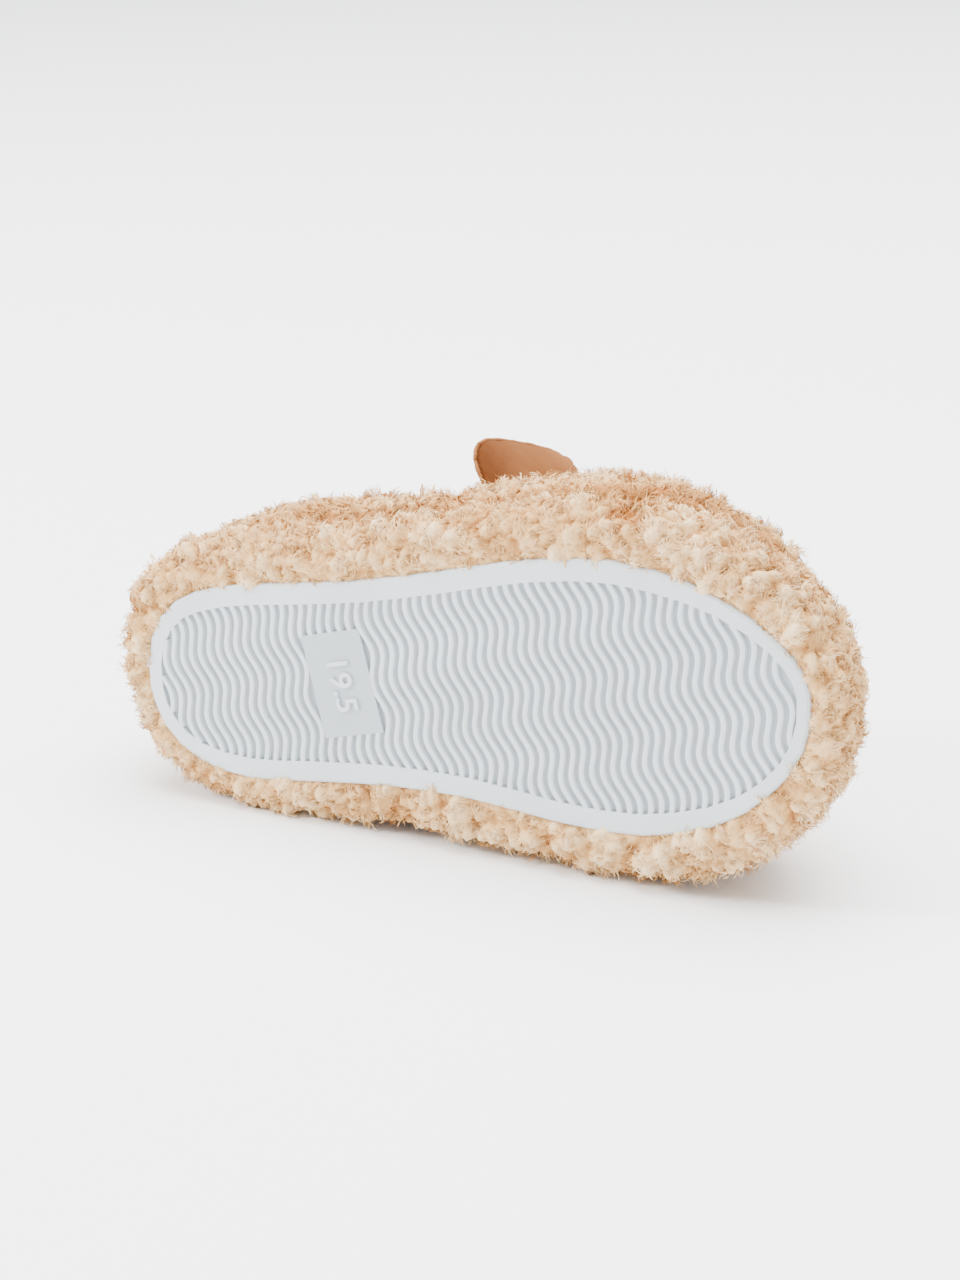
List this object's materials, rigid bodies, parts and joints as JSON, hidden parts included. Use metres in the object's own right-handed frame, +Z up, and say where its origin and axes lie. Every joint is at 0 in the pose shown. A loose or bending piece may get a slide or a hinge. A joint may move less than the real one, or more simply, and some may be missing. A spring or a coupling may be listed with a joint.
{
  "type": "plush slipper",
  "caption": "Child's closed-heel slipper in curly beige plush with two brown velvet ears and a pale rubber sole with wavy grooves, lying on its side.",
  "frame": {"origin": "middle of the bounding box, on the floor the shoe lies on", "axes": "+X towards the toe, -Y out of the sole, +Z up from the floor; the shoe lies on its medial side"},
  "size_m": [0.2278, 0.104, 0.1056],
  "materials": {
    "plush": "curly deep-pile plush over foam",
    "lining": "short soft pile",
    "ear_velvet": "short brushed velvet",
    "sole_rubber": "matt moulded"
  },
  "bodies": {
    "root": {"outsole": "sole_rubber", "platform": "plush", "upper": "plush", "insole": "lining", "ear_lateral": "ear_velvet", "ear_medial": "ear_velvet"}
  },
  "joints": []
}
